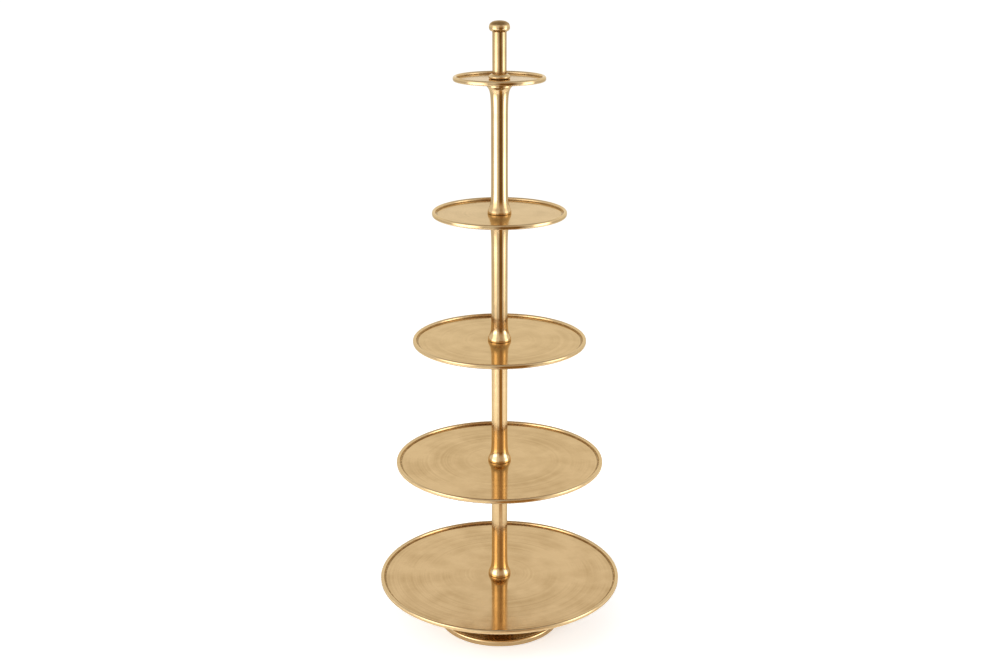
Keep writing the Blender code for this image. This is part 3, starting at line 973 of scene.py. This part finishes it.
def dimmed(tree, to_metal, clear, colour):
    """The colour, but dim where metal mirrors what isn't clear: a painted dark reflection."""
    share = maths(tree, "MULTIPLY", to_metal, maths(tree, "SUBTRACT", 1.0, clear))
    return blended(tree, share, colour, DIM_COLOUR)


def build_floor():
    """Pale floor that keeps the shadow, with a glow that brings its lit part to white.

    Metal sees no glow in a painted shadow of the trays, a fixed circle under and behind the foot. The floor
    has no underside, so that the object shows from below.
    """
    material = bpy.data.materials.new("pale_floor")
    tree = empty_tree(material)
    here = place(tree)
    radius = from_axis(tree, here)
    to_camera, to_metal = sight(tree)
    # painted dark reflection: metal sees the floor dim and brown on the side behind the camera
    beside = beside_dim(tree, here, DIM_AZIMUTH, DIM_REACH)
    clear = maths(tree, "MAXIMUM", beside, spread(tree, radius, *DIM_RANGE, 1.0, 0.0))
    matt = add(tree, "ShaderNodeBsdfDiffuse", {"Color": dimmed(tree, to_metal, clear, FLOOR_COLOUR)})
    seen = spread(tree, radius, *GLOW_RANGE, NEAR_GLOW, FAR_GLOW)
    # painted shadow: metal sees no floor glow within a fixed circle under and behind the foot
    from_shade = add(tree, "ShaderNodeVectorMath", {0: here, 1: SHADE_MIDDLE}, operation="DISTANCE")
    mirrored = spread(tree, from_shade.outputs["Value"], *SHADE_RANGE, 0.0, MIRRORED_GLOW)
    mirrored = maths(tree, "MULTIPLY", maths(tree, "MULTIPLY", mirrored, clear), to_metal)
    strength = maths(tree, "MULTIPLY_ADD", to_camera, seen, mirrored)
    glow = add(tree, "ShaderNodeEmission", {"Strength": strength})
    both = add(tree, "ShaderNodeAddShader", {0: matt.outputs[0], 1: glow.outputs[0]})
    below = add(tree, "ShaderNodeNewGeometry").outputs["Backfacing"]
    nothing = add(tree, "ShaderNodeBsdfTransparent")
    sided = add(tree, "ShaderNodeMixShader", {0: below, 1: both.outputs[0], 2: nothing.outputs[0]})
    add(tree, "ShaderNodeOutputMaterial", {"Surface": sided.outputs[0]})
    shape = bmesh.new()
    bmesh.ops.create_circle(shape, cap_ends=True, segments=FLOOR_SIDES, radius=FLOOR_RADIUS)
    finished("floor", shape, [material])


def build_sky():
    """White room with a dimmer ceiling, which lights less than it shows. Metal sees a painted dark side
    behind the camera.
    """
    world = bpy.data.worlds.new("studio")
    bpy.context.scene.world = world
    tree = empty_tree(world)
    direction = add(tree, "ShaderNodeTexCoord").outputs["Generated"]
    up = split(tree, direction)["Z"]
    angles = (WALL_TOP, CEILING_FROM, DIM_TOP, UPPER_DIM_LOW, UPPER_DIM_TOP)
    wall_top, ceiling_from, dim_top, upper_dim_low, upper_dim_top = (math.sin(math.radians(angle)) for angle in angles)
    to_camera, to_metal = sight(tree)
    beside = beside_dim(tree, direction, DIM_AZIMUTH, DIM_REACH)
    low_clear = maths(tree, "MAXIMUM", beside, spread(tree, up, 0.0, dim_top))
    beside = beside_dim(tree, direction, UPPER_DIM_AZIMUTH, UPPER_DIM_REACH)
    high_clear = maths(tree, "MAXIMUM", beside, spread(tree, up, upper_dim_low, upper_dim_top, UPPER_DIM_CLEAR, 1.0))
    clear = maths(tree, "MINIMUM", low_clear, high_clear)
    colour = dimmed(tree, to_metal, clear, SKY_COLOUR)
    seen = spread(tree, up, wall_top, ceiling_from, WALL_SEEN, CEILING_SEEN)
    strength = spread(tree, maths(tree, "MAXIMUM", to_camera, to_metal), 0.0, 1.0, SKY_LIGHT, seen)
    sky = add(tree, "ShaderNodeBackground", {"Color": colour, "Strength": strength})
    add(tree, "ShaderNodeOutputWorld", {"Surface": sky.outputs[0]})


def front_direction(azimuth):
    """Unit direction on the floor, with 0 degrees towards the camera and 90 to its right."""
    angle = math.radians(azimuth)
    return math.sin(angle), -math.cos(angle)


def faded(tree, across, along):
    """1 in the middle of a softbox and 0 at its edges, which lie at 0 and 1 both ways."""
    fade = 1.0
    for share in (across, along):
        from_middle = maths(tree, "ABSOLUTE", maths(tree, "SUBTRACT", share, 0.5))
        from_edge = maths(tree, "SUBTRACT", 0.5, from_middle)
        fade = maths(tree, "MULTIPLY", fade, spread(tree, from_edge, 0.0, SOFTBOX_EDGE))
    return fade


def softbox_lamp(name, width):
    """Lamp that lights all but the metal."""
    lamp = bpy.data.lights.new(name, "AREA")
    lamp.shape = "RECTANGLE"
    lamp.size = width
    lamp.size_y = SOFTBOX_HEIGHT
    lamp.energy = SOFTBOX_BRIGHTNESS * math.pi * width * SOFTBOX_HEIGHT
    lamp.use_nodes = True
    tree = lamp.node_tree
    parts = split(tree, add(tree, "ShaderNodeNewGeometry").outputs["Parametric"])
    tree.links.new(faded(tree, parts["X"], parts["Y"]), tree.nodes["Emission"].inputs["Strength"])
    softbox = bpy.data.objects.new(name, lamp)
    softbox.visible_glossy = False
    bpy.context.scene.collection.objects.link(softbox)
    return softbox


def softbox_face(name, width):
    """Face of the lamp, gentler and wider, brightest low down, which the metal alone mirrors."""
    material = bpy.data.materials.new(name)
    tree = empty_tree(material)
    parts = split(tree, add(tree, "ShaderNodeTexCoord").outputs["Generated"])
    level = spread(tree, parts["Y"], *FACE_RANGE, FACE_LOW, FACE_HIGH)
    strength = maths(tree, "MULTIPLY", faded(tree, parts["X"], parts["Y"]), level)
    glow = add(tree, "ShaderNodeEmission", {"Strength": strength})
    nothing = add(tree, "ShaderNodeBsdfTransparent")
    both = add(tree, "ShaderNodeAddShader", {0: nothing.outputs[0], 1: glow.outputs[0]})
    add(tree, "ShaderNodeOutputMaterial", {"Surface": both.outputs[0]})
    shape = bmesh.new()
    side = FACE_WIDENING * width / 2
    top = SOFTBOX_HEIGHT / 2
    corners = [(-side, -top, 0.0), (side, -top, 0.0), (side, top, 0.0), (-side, top, 0.0)]
    shape.faces.new([shape.verts.new(corner) for corner in corners])
    face = finished(name, shape, [material])
    face.visible_diffuse = False
    face.visible_transmission = False
    face.visible_shadow = False
    return face


def build_softbox(name, azimuth, width):
    across, along = front_direction(azimuth)
    for piece in (softbox_lamp(name, width), softbox_face(f"{name}_face", width)):
        piece.location = (SOFTBOX_DISTANCE * across, SOFTBOX_DISTANCE * along, SOFTBOX_MIDDLE)
        piece.rotation_euler = (math.radians(90), 0.0, math.radians(azimuth))
        piece.visible_camera = False


def build_camera():
    camera = bpy.data.cameras.new("camera")
    camera.sensor_width = SENSOR
    camera.lens = LENS
    viewer = bpy.data.objects.new("camera", camera)
    viewer.location = CAMERA_PLACE
    viewer.rotation_euler = (math.radians(90 - CAMERA_PITCH), 0.0, 0.0)
    bpy.context.scene.collection.objects.link(viewer)
    bpy.context.scene.camera = viewer


build_pieces()
build_floor()
build_sky()
build_softbox("left_softbox", *LEFT_SOFTBOX)
build_softbox("right_softbox", *RIGHT_SOFTBOX)
build_camera()
bpy.context.scene.view_settings.view_transform = "Standard"
